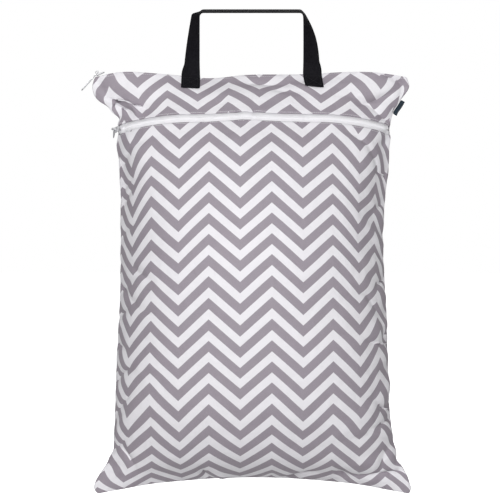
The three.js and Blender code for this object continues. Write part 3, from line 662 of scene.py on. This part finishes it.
hem_wide = 0.007
hem_raise = 0.0004
hem_back = 0.0012
opening_low = zip_up - zip_opening / 2 - hem_back
opening_high = zip_up + zip_opening / 2 + hem_back


def cloth_strip(side, low, high, across_count, up_count, out, half=half_flat, hems=(), bulge=0):
    """A strip of a cloth's surface between two heights on the flat cloth, as a bmesh grid with UVs."""
    bm = bmesh.new()
    verts = grid_mesh(bm, across_count, up_count)
    even = np.linspace(-1, 1, across_count + 1)
    acrosses = (0.7 * even + 0.3 * np.sin(even * math.pi / 2)) * half / half_flat
    heights = np.linspace(low, high, up_count + 1)
    across, height = np.meshgrid(acrosses, heights)
    outs = np.full(across.shape, out)
    outs += bulge * smoothstep(zip_opening / 2 + hem_back - np.abs(height - zip_up), 0, 0.003)
    for hem in hems:
        outs += hem_raise * smoothstep(hem_wide - np.abs(height - hem), 0, 0.0015)
    places = on_cloth(side, across, height / cloth_height, outs)
    mirror = 1 if side == "front" else -1
    uv = bm.loops.layers.uv.new("flat")
    flats = sampled(prints[side], across, height / cloth_height).reshape(-1, 2) * (mirror, 1)
    for vert, co in zip(verts, places.reshape(-1, 3)):
        vert.co = co
    bm.verts.index_update()
    for face in bm.faces:
        for loop in face.loops:
            loop[uv].uv = flats[loop.vert.index]
    if side == "back":
        bmesh.ops.reverse_faces(bm, faces=bm.faces)
    return bm


cloth_out = 0.00075
panels = (
    ("front_pocket_cloth", "front_pocket_panel", "front", 0, opening_low, 90, 105, -0.0164, 0.0009),
    ("front_upper_cloth", "front_upper_panel", "front", opening_high, cloth_height, 120, 24, 0.0080, -0.0109),
    ("back_cloth", "back_panel", "back", 0, cloth_height, 90, 120, 0.0060, 0.0040),
)
for name, stands_for, side, low, high, wide_count, tall_count, trough, centre in panels:
    hems = [h for h in (low, high) if h > 0]
    strip = cloth_strip(side, low, high, wide_count, tall_count, cloth_out, hems=hems)
    piece = smoothed(linked(name, strip, printed_cloth(name + "_print", trough, centre)), cloth_thick)
    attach(piece, "bag")
    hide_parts(stands_for)

# Zip tapes
# Both zips have white woven polyester tapes. Their edges are sewn under the hemmed cloth, and the
# corded edges that carry the coil meet in the middle of the opening.

tape_thick = 0.0008
tape_under = 0.009
tape_out = -0.0012
tape_bulge = 0.0016
tape_slit = 0.0004
top_tape_sunk = 0.0006
tape_columns = 150
tape_rows = 12
top_tape_rows = 8
long_edge = 0.004
zip_end = 0.002
teeth_end = 0.009
zip_white = (0.88, 0.87, 0.90, 1)

tape_cloth, tree, shader = new_material("zip_tape_weave", 0.7, Sheen_Weight=0.15)
tape_flat = node(tree, "UVMap", uv_map="flat").outputs["UV"]
threads = grouped(tree, weave, tape_flat, Across=0.0006, Up=0.0005)
rumples = grouped(tree, handling, node(tree, "TexCoord").outputs["Object"], Rumple=400.0, Blotch=60.0)
shade = blend_colour(tree, maths(tree, "MULTIPLY", threads["Thread"], 0.25), zip_white, (0.6, 0.58, 0.62, 1))
shade = blend_colour(tree, ramp(tree, rumples["Shade"], 0.35, 0.75, 0.0, 0.18), shade, (0.70, 0.68, 0.71, 1))
tree.links.new(shade, shader.inputs["Base Color"])
woven = node(tree, "Bump", {"Height": threads["Height"], "Strength": 0.5, "Distance": 0.0002})
tree.links.new(woven.outputs[0], shader.inputs["Normal"])
tree.links.new(ramp(tree, rumples["Height"], 0.3, 0.7, 0.62, 0.78), shader.inputs["Roughness"])

half_zip = half_flat - zip_end
for name, stands_for, low, high in (
    ("front_zip_tape_high", "front_zip_tape_upper", zip_up + tape_slit, opening_high + tape_under),
    ("front_zip_tape_low", "front_zip_tape_lower", opening_low - tape_under, zip_up - tape_slit),
):
    strip = cloth_strip("front", low, high, tape_columns, tape_rows, tape_out, half_zip, bulge=tape_bulge)
    piece = smoothed(linked(name, strip, tape_cloth), tape_thick)
    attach(piece, "bag")
    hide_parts(stands_for)

# The top zip's tapes come up inside the ridge and turn level to meet over its middle.
for side, stands_for, mirror in (("front", "top_zip_tape_front", 1), ("back", "top_zip_tape_back", -1)):
    name = f"top_zip_tape_{side}_cloth"
    low = cloth_height - tape_under
    half = half_flat - teeth_end
    bm = cloth_strip(side, low, cloth_height, tape_columns, top_tape_rows, tape_out, half=half)
    last_row = top_tape_rows * (tape_columns + 1)
    top_edges = [e for e in bm.edges if e.is_boundary and min(v.index for v in e.verts) >= last_row]
    raised = bmesh.ops.extrude_edge_only(bm, edges=top_edges)["geom"]
    for vert in (g for g in raised if isinstance(g, bmesh.types.BMVert)):
        vert.co.y = -tape_slit * mirror
        vert.co.z -= top_tape_sunk
    bmesh.ops.subdivide_edges(bm, edges=[e for e in bm.edges if e.calc_length() > long_edge], cuts=1)
    piece = smoothed(linked(name, bm, tape_cloth), tape_thick)
    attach(piece, "bag")
    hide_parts(stands_for)

# Zip coils
# Each zip closes with two nylon coils, sewn along the tape edges, whose turns hook into each other.
# One turn is a small rounded bar across the zip.

turn_pitch = 0.00165
turn_long = 0.0036
turn_wide = turn_pitch * 0.86
turn_thick = 0.0010
turn_round = 0.0003
turn_lean = math.radians(9)
front_coil_out = 0.0008
top_coil_lift = 0.0003

coil_nylon, tree, shader = new_material("coil_nylon", 0.38)
place = node(tree, "TexCoord").outputs["Object"]
rumples = grouped(tree, handling, place, Rumple=700.0, Blotch=90.0)
shade = blend_colour(tree, rumples["Shade"], (0.93, 0.92, 0.95, 1), (0.84, 0.83, 0.86, 1))
tree.links.new(shade, shader.inputs["Base Color"])
tree.links.new(ramp(tree, rumples["Height"], 0.3, 0.7, 0.3, 0.5), shader.inputs["Roughness"])


def cloth_frames(side, acrosses, heights, out):
    """Matrices on the cloth at places on it: X across the bag, Y up the cloth, Z out of it."""
    step = 0.002
    across, up = np.broadcast_arrays(np.asarray(acrosses, float), np.asarray(heights, float) / cloth_height)
    origin = on_cloth(side, across, up, np.full(across.shape, out))
    normal = on_cloth(side, across, up, np.full(across.shape, out + 0.001)) - origin
    ahead = on_cloth(side, across + step, up, np.full(across.shape, out)) - origin
    frames = []
    for o, n, a in zip(origin, normal, ahead):
        z = Vector(n).normalized()
        x = Vector(a)
        x = (x - z * x.dot(z)).normalized()
        y = z.cross(x)
        frames.append(Matrix.Translation(Vector(o)) @ Matrix((x, y, z)).transposed().to_4x4())
    return frames


def repeated(template, matrices):
    """One bmesh with the template's shape at each matrix."""
    bm = bmesh.new()
    mesh = bpy.data.meshes.new("template")
    template.to_mesh(mesh)
    template.free()
    for matrix in matrices:
        start = len(bm.verts)
        bm.from_mesh(mesh)
        bm.verts.ensure_lookup_table()
        bmesh.ops.transform(bm, matrix=matrix, verts=bm.verts[start:])
    bpy.data.meshes.remove(mesh)
    return bm


def rounded_bar(long, wide, thick, bevel):
    bm = bmesh.new()
    bmesh.ops.create_cube(bm, size=1)
    bmesh.ops.scale(bm, vec=(wide, long, thick), verts=bm.verts)
    bmesh.ops.bevel(bm, geom=bm.edges[:], offset=bevel, affect="EDGES", segments=1, profile=0.5, material=-1)
    return bm


teeth_half = (half_flat - teeth_end) / half_flat
turn_count = round(2 * teeth_half * half_flat / turn_pitch)
turn_places = np.linspace(-teeth_half, teeth_half, turn_count)
lean = Matrix.Rotation(turn_lean, 4, "Z")
front_frames = cloth_frames("front", turn_places, zip_up, front_coil_out)
ridge_front = on_cloth("front", turn_places, np.ones(turn_count), np.full(turn_count, tape_out))
top_frames = []
for a, b in zip(ridge_front[4:-4], ridge_front[5:-3]):
    along = Vector((b[0] - a[0], 0, b[2] - a[2])).normalized()
    out = Vector((-along.z, 0, along.x))
    spot = Vector((a[0], 0, a[2])) + out * top_coil_lift
    top_frames.append(Matrix.Translation(spot) @ Matrix((along, out.cross(along), out)).transposed().to_4x4())
for name, stands_for, frames in (
    ("front_zip_coil", "front_zip_teeth", front_frames),
    ("top_zip_coil", "top_zip_teeth", top_frames),
):
    turn_shape = rounded_bar(turn_long, turn_wide, turn_thick, turn_round)
    piece = linked(name, repeated(turn_shape, [f @ lean for f in frames]), coil_nylon)
    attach(piece, "bag")
    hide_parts(stands_for)

# Zip sliders and pull tabs
# Die-cast sliders, lacquered light grey, each with a bridge over its plate. The flat pull tab is
# stamped, hangs in the bridge by a window near its end, and swings round the bridge.

cast_round = 0.0003
sharp_angle = math.radians(35)
slider_colour = (0.50, 0.50, 0.52, 1)
slider_light = (0.62, 0.62, 0.64, 1)
slider_bare = (0.42, 0.42, 0.44, 1)
lacquer, tree, shader = new_material("lacquered_metal", 0.34, Coat_Roughness=0.2)
place = node(tree, "TexCoord").outputs["Object"]
rumples = grouped(tree, handling, place, Rumple=900.0, Blotch=300.0)
worn = ramp(tree, rumples["Shade"], 0.56, 0.70, 0.0, 0.8)
shade = blend_colour(tree, rumples["Height"], slider_colour, slider_light)
tree.links.new(blend_colour(tree, worn, shade, slider_bare), shader.inputs["Base Color"])
tree.links.new(ramp(tree, rumples["Height"], 0.3, 0.7, 0.28, 0.48), shader.inputs["Roughness"])
tree.links.new(maths(tree, "MULTIPLY", worn, 0.9), shader.inputs["Metallic"])
pitted = node(tree, "Bump", {"Height": rumples["Height"], "Strength": 0.2, "Distance": 0.0001})
tree.links.new(pitted.outputs[0], shader.inputs["Normal"])

for stands_for, body in (
    ("front_zip_slider", "bag"),
    ("top_zip_slider", "bag"),
    ("front_zip_pull", "front_pull"),
    ("top_zip_pull", "top_pull"),
):
    bm = bmesh.new()
    bm.from_mesh(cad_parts[stands_for].data)
    bmesh.ops.remove_doubles(bm, verts=bm.verts, dist=1e-6)
    bmesh.ops.dissolve_limit(bm, angle_limit=math.radians(4), verts=bm.verts, edges=bm.edges)
    sharp = [e for e in bm.edges if len(e.link_faces) == 2 and e.calc_face_angle() > sharp_angle]
    bmesh.ops.bevel(bm, geom=sharp, offset=cast_round, affect="EDGES", segments=2, profile=0.5,
                    material=-1, clamp_overlap=True)
    bmesh.ops.triangulate(bm, faces=bm.faces)
    piece = linked(stands_for + "_cast", bm, lacquer, smooth=False)
    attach(piece, body)
    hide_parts(stands_for)

# Handle
# One black polypropylene webbing strap. Both ends lie flat on the front, sewn down with a box and a
# cross. Each leg twists so that the bar between them lies nearly level.

# The left and the right end: X of the inner edge, how askew the end is sewn on, the leg's twist low
# down and at its top, and how late along the leg it turns from the one to the other.
strap_ends = {
    -1: (0.0695, 0.0, math.radians(26), math.radians(64), 1.15),
    1: (0.0655, math.radians(6), math.radians(27), math.radians(85), 2.3),
}
twist_soon = 0.22
corner_turns = (25, 45, 65, 80, 90)
strap_thick = 0.0018
strap_sewn = 0.024
strap_corner = 0.004
strap_lift = 0.0015 + 0.0003 + strap_thick / 2
strap_cells = 8
end_rows = 9
leg_rows = 31

webbing, tree, shader = new_material("black_webbing", 0.9, Specular_IOR_Level=0.03)
strap_flat = node(tree, "UVMap", uv_map="flat").outputs["UV"]
threads = grouped(tree, weave, strap_flat, Across=0.0015, Up=0.0011)
rumples = grouped(tree, handling, node(tree, "TexCoord").outputs["Object"], Rumple=900.0, Blotch=40.0)
shade = blend_colour(tree, threads["Thread"], (0.0075, 0.0070, 0.0090, 1), (0.014, 0.0135, 0.0165, 1))
dusty = maths(tree, "MULTIPLY", ramp(tree, rumples["Shade"], 0.4, 0.8, 0.0, 0.2), threads["Height"])
tree.links.new(blend_colour(tree, dusty, shade, (0.035, 0.034, 0.038, 1)), shader.inputs["Base Color"])
tree.links.new(ramp(tree, threads["Height"], 0.0, 1.0, 0.95, 0.8), shader.inputs["Roughness"])
ribs = node(tree, "Bump", {"Height": threads["Height"], "Strength": 0.7, "Distance": 0.0004})
fuzz = node(tree, "Bump", {"Height": rumples["Height"], "Strength": 0.3, "Distance": 0.0002})
tree.links.new(ribs.outputs[0], fuzz.inputs["Normal"])
tree.links.new(fuzz.outputs[0], shader.inputs["Normal"])


def across_at(x, up):
    """Where across the front cloth a given X lies, at a height."""
    line = on_cloth("front", fine_across, np.full(fine_across.shape, up))[:, 0]
    return float(np.interp(x, line, fine_across))


def sewn_spot(sign, aside, down):
    """X, and height on the flat cloth, of a spot aside from an end's inner edge and down from its top."""
    inner, askew = strap_ends[sign][:2]
    x = inner + aside * math.cos(askew) + down * math.sin(askew)
    return sign * x, cloth_height - down * math.cos(askew) - aside * math.sin(askew)


def sewn_row(sign, down):
    spots = [sewn_spot(sign, aside, down) for aside in np.linspace(0, strap_width, strap_cells + 1)]
    acrosses = np.array([across_at(x, height / cloth_height) for x, height in spots])
    ups = np.array([height / cloth_height for _, height in spots])
    return on_cloth("front", acrosses, ups, np.full(acrosses.shape, strap_lift))


def strap_row(inner, wide, face):
    steps = np.linspace(0, strap_width, strap_cells + 1)[:, None]
    return np.asarray(inner) + steps * np.asarray(wide) + np.asarray(face) * strap_thick / 2


def unit(vector):
    return np.asarray(vector, float) / np.linalg.norm(vector)


head_y = -strap_width / 2 * math.cos(bar_tilt)
head_z = -strap_width / 2 * math.sin(bar_tilt)
bar_wide = np.array((0, math.cos(bar_tilt), math.sin(bar_tilt)))


def strap_leg(sign):
    """Rows of one sewn end, its leg and its corner, up to where the bar starts."""
    inner, _, twist_foot, twist_top, twist_late = strap_ends[sign]
    rows = [sewn_row(sign, down) for down in np.linspace(strap_sewn, 0, end_rows)]
    foot = rows[-1][0]
    for share in np.linspace(0, 1, leg_rows)[1:]:
        twist = twist_foot * min(1, share / twist_soon) + (twist_top - twist_foot) * share**twist_late
        wide = unit((sign * math.cos(twist), math.sin(twist), math.sin(bar_tilt) * share**3))
        face = (sign * math.sin(twist), -math.cos(twist), 0)
        y = foot[1] + (head_y - foot[1]) * smoothstep(share, 0, 1)
        z = foot[2] + (head_z - strap_corner - foot[2]) * share
        rows.append(strap_row((sign * inner, y, z), wide, face))
    for turn in corner_turns:
        angle = math.radians(turn)
        x = sign * (inner - strap_corner * (1 - math.cos(angle)))
        z = head_z - strap_corner * (1 - math.sin(angle))
        face = unit(np.cross(bar_wide, (sign * math.sin(angle), 0, -math.cos(angle))))
        rows.append(strap_row((x, head_y, z), bar_wide, face * np.sign(face[2])))
    return rows


left_leg, right_leg = strap_leg(-1), strap_leg(1)
bar_rows = [left_leg[-1] + (right_leg[-1] - left_leg[-1]) * s for s in np.linspace(0, 1, 21)[1:-1]]
strap = np.array(left_leg + bar_rows + right_leg[::-1])

bm = bmesh.new()
verts = grid_mesh(bm, strap_cells, len(strap) - 1)
for vert, co in zip(verts, strap.reshape(-1, 3)):
    vert.co = co
run = np.concatenate([[0], np.cumsum(np.linalg.norm(np.diff(strap[:, 4], axis=0), axis=1))])
uv = bm.loops.layers.uv.new("flat")
bm.verts.index_update()
for face in bm.faces:
    for loop in face.loops:
        r, c = divmod(loop.vert.index, strap_cells + 1)
        loop[uv].uv = (c * strap_width / strap_cells, run[r])
piece = smoothed(linked("webbing_handle", bm, webbing), strap_thick * 0.9)
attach(piece, "bag")
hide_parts("handle")

# Side label
# A small woven navy tag, folded in two and caught in the right side seam. It is left bare.

label_up = 0.563
label_long = 0.022
label_out = 0.0065

tag, tree, shader = new_material("woven_tag", 0.7, Specular_IOR_Level=0.2)
place = node(tree, "TexCoord").outputs["Object"]
threads = grouped(tree, weave, place, Across=0.0005, Up=0.0005)
rumples = grouped(tree, handling, place, Rumple=900.0, Blotch=150.0)
shade = blend_colour(tree, rumples["Shade"], (0.006, 0.012, 0.022, 1), (0.012, 0.024, 0.038, 1))
shade = blend_colour(tree, maths(tree, "MULTIPLY", threads["Thread"], 0.4), shade, (0.03, 0.045, 0.06, 1))
tree.links.new(shade, shader.inputs["Base Color"])
nubbly = node(tree, "Bump", {"Height": rumples["Height"], "Strength": 0.5, "Distance": 0.0002})
tree.links.new(nubbly.outputs[0], shader.inputs["Normal"])

label_ups = np.linspace(label_up - label_long / 2, label_up + label_long / 2, 9) / cloth_height
seam_line = on_cloth("front", np.ones(9), label_ups, np.full(9, cloth_out))
bm = bmesh.new()
verts = grid_mesh(bm, 10, 8)
tangent = unit(seam_line[-1] - seam_line[0])
outward = unit((tangent[2], 0, -tangent[0]))
for i, vert in enumerate(verts):
    r, c = divmod(i, 11)
    turn = (c - 5) / 5
    bow = math.sqrt(max(0, 1 - turn * turn))
    reach = 0.0003 + (label_out - 0.0003) * (1 - abs(turn) ** 3)
    spot = seam_line[r] + outward * reach
    vert.co = (spot[0], 0.0002 * turn + 0.00035 * np.sign(turn) * (1 - abs(turn)) ** 0.5, spot[2])
piece = smoothed(linked("side_tag", bm, tag), 0.0003)
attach(piece, "bag")
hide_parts("side_label")

# Stitching
# White polyester thread runs along both sides of the front zip and along the top edge. The strap's
# ends are sewn down with black thread, in a box with a cross.

stitch_pitch = 0.0030
stitch_long = 0.0023
stitch_thick = 0.00035
stitch_out = 0.0009
stitch_end = 0.973

thread_white, tree, shader = new_material("white_thread", 0.5)
rumples = grouped(tree, handling, node(tree, "TexCoord").outputs["Object"], Rumple=1500.0, Blotch=200.0)
shade = blend_colour(tree, rumples["Shade"], (0.82, 0.81, 0.84, 1), (0.66, 0.64, 0.68, 1))
tree.links.new(shade, shader.inputs["Base Color"])
thread_black, tree, shader = new_material("black_thread", 0.6, Specular_IOR_Level=0.2)
rumples = grouped(tree, handling, node(tree, "TexCoord").outputs["Object"], Rumple=1500.0, Blotch=200.0)
shade = blend_colour(tree, rumples["Shade"], (0.007, 0.007, 0.008, 1), (0.015, 0.015, 0.018, 1))
tree.links.new(shade, shader.inputs["Base Color"])

quarter = Matrix.Rotation(math.radians(90), 4, "Z")
rows_sewn = []
for side, height in (
    ("front", opening_low - 0.002),
    ("front", opening_high + 0.002),
    ("front", cloth_height - 0.003),
    ("back", cloth_height - 0.003),
):
    count = round((cloth_width - 0.012) / stitch_pitch)
    places = np.linspace(-stitch_end, stitch_end, count)
    rows_sewn += [f @ quarter for f in cloth_frames(side, places, height, cloth_out + stitch_out)]
shape = rounded_bar(stitch_long, 0.0004, stitch_thick, 0.00012)
piece = linked("cloth_stitches", repeated(shape, rows_sewn), thread_white)
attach(piece, "bag")

box_inset = 0.003
box_near, box_far = box_inset, strap_width - box_inset
box_top, box_foot = box_inset + 0.001, strap_sewn - box_inset
box_sewn = []
for sign in (-1, 1):
    for from_aside, from_down, to_aside, to_down in (
        (box_near, box_foot, box_far, box_foot),
        (box_near, box_top, box_far, box_top),
        (box_near, box_foot, box_near, box_top),
        (box_far, box_foot, box_far, box_top),
        (box_near, box_foot, box_far, box_top),
        (box_near, box_top, box_far, box_foot),
    ):
        x0, h0 = sewn_spot(sign, from_aside, from_down)
        x1, h1 = sewn_spot(sign, to_aside, to_down)
        count = round(math.hypot(x1 - x0, h1 - h0) / stitch_pitch)
        turn = Matrix.Rotation(math.atan2(h1 - h0, x1 - x0) - math.radians(90), 4, "Z")
        for s in (np.arange(count) + 0.5) / count:
            height = h0 + (h1 - h0) * s
            across = across_at(x0 + (x1 - x0) * s, height / cloth_height)
            spot = cloth_frames("front", [across], [height], strap_lift + strap_thick / 2)[0]
            box_sewn.append(spot @ turn)
shape = rounded_bar(stitch_long, 0.0006, 0.0005, 0.00015)
piece = linked("strap_stitches", repeated(shape, box_sewn), thread_black)
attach(piece, "bag")

# Studio
# A pale floor under the hanging bag, an even white surround, and soft lamps. The camera looks level
# at the bag's front, as in the photograph.

floor_drop = 0.09
bm = bmesh.new()
bmesh.ops.create_circle(bm, cap_ends=True, radius=30, segments=64)
bmesh.ops.translate(bm, vec=(0, 0, bottom_z - floor_drop), verts=bm.verts)
pale, tree, shader = new_material("pale_floor", 0.9)
shader.inputs["Base Color"].default_value = (0.70, 0.70, 0.70, 1)
shader.inputs["Emission Color"].default_value = (1, 1, 1, 1)
tree.links.new(node(tree, "LightPath").outputs["Is Camera Ray"], shader.inputs["Emission Strength"])
linked("studio_floor", bm, pale, smooth=False)

world = bpy.data.worlds.new("surround")
bpy.context.scene.world = world
world.use_nodes = True
tree = world.node_tree
sky = node(tree, "SeparateXYZ", {0: node(tree, "TexCoord").outputs["Generated"]}).outputs["Z"]
soft = node(tree, "Background", {"Color": (1, 1, 1, 1), "Strength": ramp(tree, sky, -0.6, 0.6, 0.10, 0.34)})
seen = node(tree, "Background", {"Color": (1, 1, 1, 1), "Strength": 1.0})
path = node(tree, "LightPath")
both = node(tree, "MixShader", {0: path.outputs["Is Camera Ray"], 1: soft.outputs[0], 2: seen.outputs[0]})
tree.links.new(both.outputs[0], tree.nodes["World Output"].inputs["Surface"])

camera_away = 2.6
aim = Vector((-0.004, 0, -0.3144))
for name, place, size, power in (
    ("key", (-0.35, -2.5, 0.45), 1.2, 45),
    ("fill", (0.9, -2.4, 0.0), 1.4, 6),
    ("back", (0.3, 2.2, 1.2), 1.5, 26),
):
    lamp = bpy.data.lights.new(name, "AREA")
    lamp.energy = power
    lamp.size = size
    light = bpy.data.objects.new(name, lamp)
    light.location = place
    light.rotation_euler = (aim - Vector(place)).to_track_quat("-Z", "Y").to_euler()
    bpy.context.scene.collection.objects.link(light)

bpy.context.scene.view_settings.view_transform = "Standard"

lens = bpy.data.cameras.new("camera")
lens.lens = 141.8
lens.sensor_width = 36
camera = bpy.data.objects.new("camera", lens)
camera.location = (aim.x, -camera_away, aim.z)
camera.rotation_euler = (math.radians(90), 0, 0)
bpy.context.scene.collection.objects.link(camera)
bpy.context.scene.camera = camera
